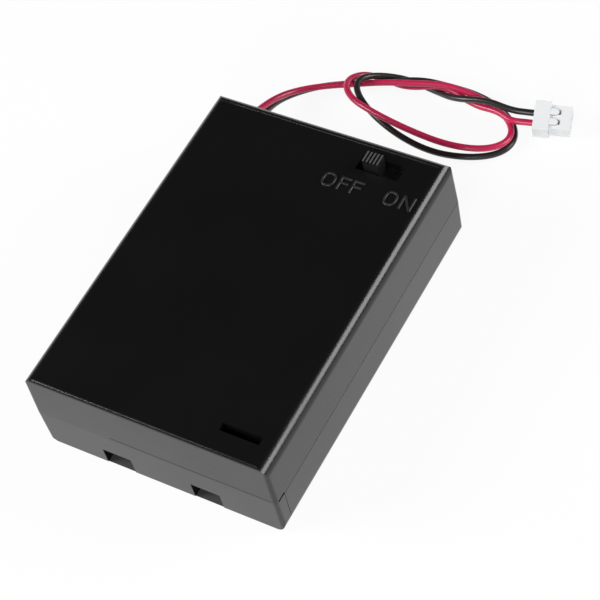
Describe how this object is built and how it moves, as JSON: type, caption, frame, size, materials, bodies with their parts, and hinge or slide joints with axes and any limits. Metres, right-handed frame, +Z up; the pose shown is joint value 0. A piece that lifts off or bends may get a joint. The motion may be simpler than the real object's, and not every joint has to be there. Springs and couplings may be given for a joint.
{
  "type": "cylindrical cell holder",
  "caption": "Closed moulded box that holds three cylindrical cells in series, with a ribbed slide switch on top and two leads that end in a small plug.",
  "frame": {"origin": "middle of the underside, on the surface that the holder lies on", "axes": "+X across the three cells towards the switch's side, +Y along the cells towards the switch end and the leads, +Z up through the face with the switch"},
  "size_m": [0.0583, 0.1002, 0.0221],
  "materials": {
    "black_moulding": "satin moulded",
    "black_knob": "satin moulded",
    "screw_steel": "zinc plated",
    "nickel_plate": "nickel plated",
    "spring_wire": "nickel plated",
    "switch_steel": "tin plated",
    "switch_board": "plain phenolic board",
    "terminal_brass": "plain",
    "jumper_insulation": "soft insulation",
    "red_insulation": "soft insulation",
    "black_insulation": "soft insulation",
    "tinned_core": "tinned",
    "white_nylon": "natural nylon"
  },
  "bodies": {
    "holder": {"tray": "black_moulding", "contact_front_left": "nickel_plate", "contact_front_right": "nickel_plate", "contact_back_left": "nickel_plate", "contact_back_right": "nickel_plate", "cell_spring_left": "spring_wire", "cell_spring_middle": "spring_wire", "cell_spring_right": "spring_wire", "switch_shell": "switch_steel", "switch_board": "switch_board", "switch_terminal_spare": "terminal_brass", "switch_terminal_common": "terminal_brass", "switch_terminal_on": "terminal_brass", "jumper_wire": "jumper_insulation", "red_lead": "red_insulation", "black_lead": "black_insulation", "red_lead_core": "tinned_core", "black_lead_core": "tinned_core", "plug_housing": "white_nylon", "crimp_contact_red": "tinned_core", "crimp_contact_black": "tinned_core"},
    "slider": {"switch_knob": "black_knob", "switch_wiper": "terminal_brass"},
    "cover": {"lid": "black_moulding", "lid_screw": "screw_steel"}
  },
  "joints": [
    {"name": "switch_slide", "type": "slide", "parent": "holder", "child": "slider", "axis": [1, 0, 0], "range_m": [0, 0.0024]},
    {"name": "lid_lift_off", "type": "slide", "parent": "holder", "child": "cover", "axis": [0, 0, -1], "range_m": [0, 0.014]}
  ]
}
